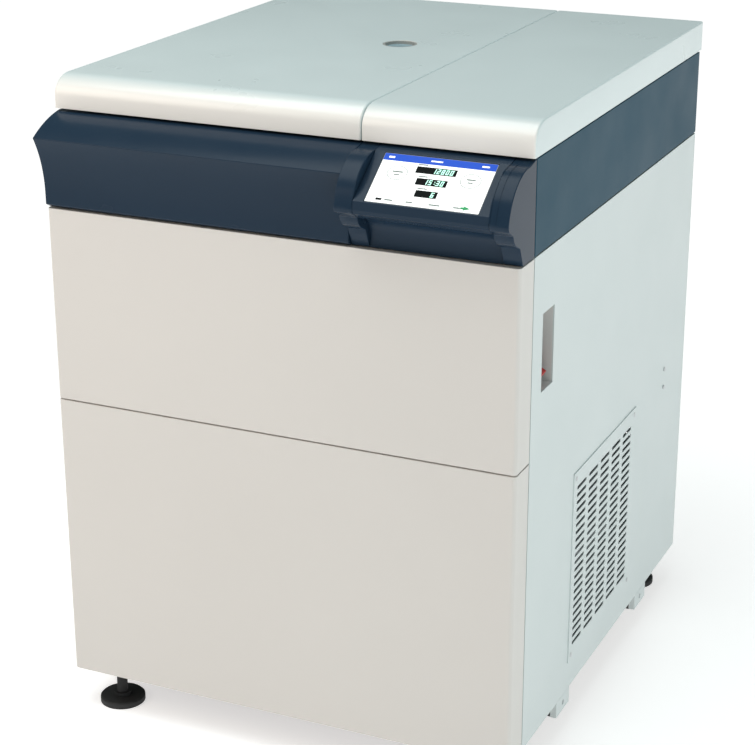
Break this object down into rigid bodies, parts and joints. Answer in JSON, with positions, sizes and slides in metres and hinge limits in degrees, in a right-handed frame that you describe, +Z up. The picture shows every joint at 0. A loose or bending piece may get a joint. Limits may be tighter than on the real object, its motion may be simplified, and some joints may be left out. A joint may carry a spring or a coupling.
{
  "type": "refrigerated centrifuge",
  "caption": "Floor-standing refrigerated centrifuge: steel cabinet on levelling feet and casters, hinged chamber lid, fixed-angle rotor, sloping touch-screen console.",
  "frame": {"origin": "on the floor under the middle of the machine's outline", "axes": "+X to the machine's right, -Y to its front, +Z up"},
  "size_m": [0.704, 0.855, 0.9585],
  "materials": {
    "warm_white_paint": "satin",
    "pale_aqua_paint": "satin",
    "dark_blue_moulding": "satin",
    "dark_blue_paint": "satin",
    "bare_steel": "brushed",
    "stainless_steel": "brushed",
    "black_plastic": "matte",
    "grey_plastic": "matte",
    "red_plastic": "gloss",
    "black_rubber": "matte",
    "foam": "matte",
    "window_acrylic": "clear",
    "screen_glass": "lit screen under glass",
    "rotor_alloy": "anodised",
    "black_enamel": "semi-gloss",
    "copper_tube": "bright",
    "fin_aluminium": "mill"
  },
  "bodies": {
    "cabinet": {"base_frame": "black_enamel", "corner_posts": "bare_steel", "lower_front_panel": "warm_white_paint", "upper_front_panel": "warm_white_paint", "left_side_panel": "pale_aqua_paint", "right_side_panel": "pale_aqua_paint", "rear_panel": "pale_aqua_paint", "cable_gland": "black_plastic", "upper_bands": "dark_blue_paint", "top_deck": "stainless_steel", "right_top_cover": "pale_aqua_paint", "front_bar": "dark_blue_moulding", "console_cheeks": "dark_blue_moulding", "console_centre": "dark_blue_moulding", "display_module": "black_plastic", "touch_screen": "screen_glass", "intake_grille": "pale_aqua_paint", "side_screws": "bare_steel", "switch_recess": "grey_plastic", "breaker_body": "black_plastic", "caster_forks": "pale_aqua_paint", "caster_axles": "bare_steel", "foot_lock_nuts": "bare_steel", "chamber_bowl": "stainless_steel", "chamber_insulation": "foam", "armour_ring": "black_enamel", "chamber_gasket": "black_rubber", "motor_bridge": "black_enamel", "rubber_mounts": "black_rubber", "motor_housing": "fin_aluminium", "divider_wall": "bare_steel", "condenser": "fin_aluminium", "fan_shroud": "black_plastic", "compressor": "black_enamel", "refrigerant_pipe": "copper_tube", "electronics_box": "fin_aluminium", "cabinet_hinge_leaves": "bare_steel", "hinge_pins": "bare_steel", "lid_lock": "bare_steel"},
    "lid": {"lid_shell": "pale_aqua_paint", "lid_liner": "stainless_steel", "lid_insulation": "foam", "sight_tube": "grey_plastic", "sight_window": "window_acrylic", "lid_strikers": "bare_steel", "lid_hinge_leaves": "bare_steel"},
    "rotor": {"drive_shaft": "bare_steel", "rotor": "rotor_alloy"},
    "rotor_knob": {"rotor_knob": "black_plastic"},
    "fan": {"fan": "black_plastic"},
    "lock_bar": {"lock_bar": "bare_steel"},
    "breaker_toggle": {"breaker_toggle": "red_plastic"},
    "front_left_wheel": {"front_left_wheel": "black_rubber"},
    "front_right_wheel": {"front_right_wheel": "black_rubber"},
    "rear_left_wheel": {"rear_left_wheel": "black_rubber"},
    "rear_right_wheel": {"rear_right_wheel": "black_rubber"},
    "front_left_foot": {"front_left_foot": "black_rubber"},
    "front_right_foot": {"front_right_foot": "black_rubber"},
    "rear_left_foot": {"rear_left_foot": "black_rubber"},
    "rear_right_foot": {"rear_right_foot": "black_rubber"}
  },
  "joints": [
    {"name": "lid_hinge", "type": "hinge", "parent": "cabinet", "child": "lid", "pos_m": [0, 0.4205, 0.9125], "axis": [-1, 0, 0], "range_deg": [0, 75]},
    {"name": "rotor_spin", "type": "hinge", "parent": "cabinet", "child": "rotor", "pos_m": [-0.118, 0.0305, 0.7], "axis": [0, 0, 1], "continuous": true},
    {"name": "rotor_knob_turn", "type": "hinge", "parent": "rotor", "child": "rotor_knob", "pos_m": [-0.118, 0.0305, 0.75], "axis": [0, 0, 1], "range_deg": [0, 540]},
    {"name": "fan_spin", "type": "hinge", "parent": "cabinet", "child": "fan", "pos_m": [0.26, 0.004, 0.26], "axis": [1, 0, 0], "continuous": true},
    {"name": "front_left_wheel_spin", "type": "hinge", "parent": "cabinet", "child": "front_left_wheel", "pos_m": [-0.33, -0.1555, 0.049], "axis": [1, 0, 0], "continuous": true},
    {"name": "front_right_wheel_spin", "type": "hinge", "parent": "cabinet", "child": "front_right_wheel", "pos_m": [0.33, -0.1555, 0.049], "axis": [1, 0, 0], "continuous": true},
    {"name": "rear_left_wheel_spin", "type": "hinge", "parent": "cabinet", "child": "rear_left_wheel", "pos_m": [-0.33, 0.2225, 0.049], "axis": [1, 0, 0], "continuous": true},
    {"name": "rear_right_wheel_spin", "type": "hinge", "parent": "cabinet", "child": "rear_right_wheel", "pos_m": [0.33, 0.2225, 0.049], "axis": [1, 0, 0], "continuous": true},
    {"name": "front_left_foot_height", "type": "slide", "parent": "cabinet", "child": "front_left_foot", "axis": [0, 0, 1], "range_m": [-0.02, 0.026]},
    {"name": "front_right_foot_height", "type": "slide", "parent": "cabinet", "child": "front_right_foot", "axis": [0, 0, 1], "range_m": [-0.02, 0.026]},
    {"name": "rear_left_foot_height", "type": "slide", "parent": "cabinet", "child": "rear_left_foot", "axis": [0, 0, 1], "range_m": [-0.02, 0.026]},
    {"name": "rear_right_foot_height", "type": "slide", "parent": "cabinet", "child": "rear_right_foot", "axis": [0, 0, 1], "range_m": [-0.02, 0.026]},
    {"name": "lock_bar_slide", "type": "slide", "parent": "cabinet", "child": "lock_bar", "axis": [0, -1, 0], "range_m": [0, 0.012]},
    {"name": "breaker_toggle_tilt", "type": "hinge", "parent": "cabinet", "child": "breaker_toggle", "pos_m": [0.3165, -0.269, 0.618], "axis": [0, -1, 0], "range_deg": [0, 60]}
  ]
}
